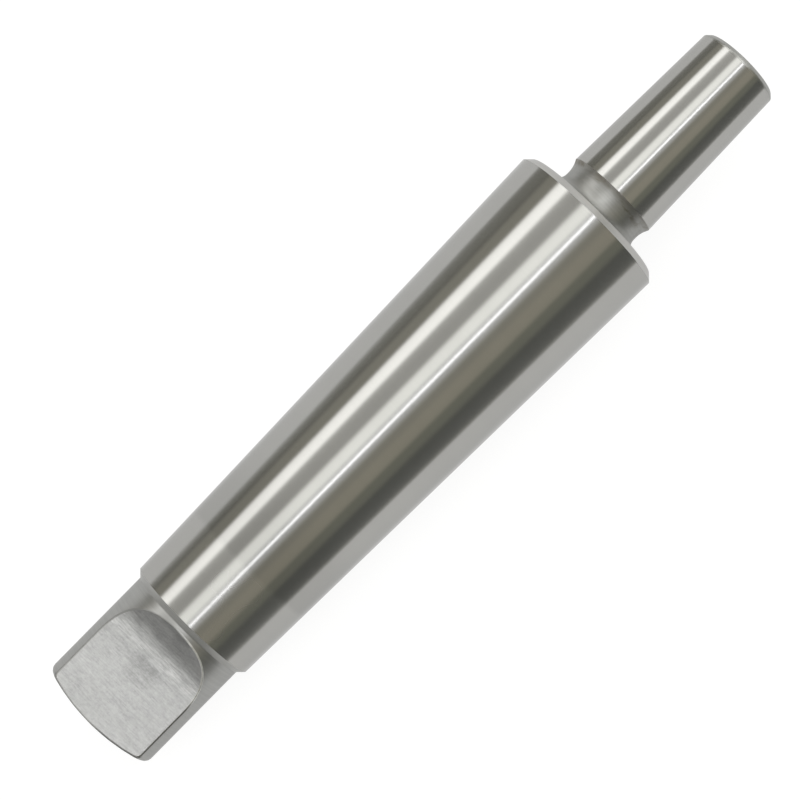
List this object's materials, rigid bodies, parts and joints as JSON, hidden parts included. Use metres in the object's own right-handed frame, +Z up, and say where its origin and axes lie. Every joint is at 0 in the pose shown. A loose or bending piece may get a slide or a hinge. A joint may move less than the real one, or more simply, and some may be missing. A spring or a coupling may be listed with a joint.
{
  "type": "drill chuck arbor",
  "caption": "Solid steel arbor with a self-holding taper shank, a flat tang at its small end, a turned neck and a short taper nose that carries a drill chuck.",
  "frame": {"origin": "middle of the underside of the part's box, on the surface it lies on", "axes": "+Z up; +X towards the nose, with the arbor's axis in the XZ plane, 1.49 degrees above +X because the arbor lies on one line of its shank taper; the tang's flats face up and down"},
  "size_m": [0.1648, 0.0316, 0.0315],
  "materials": {
    "ground_steel": "ground tapers, with a milled tang and a turned neck"
  },
  "bodies": {
    "root": {"chuck_arbor": "ground_steel"}
  },
  "joints": []
}
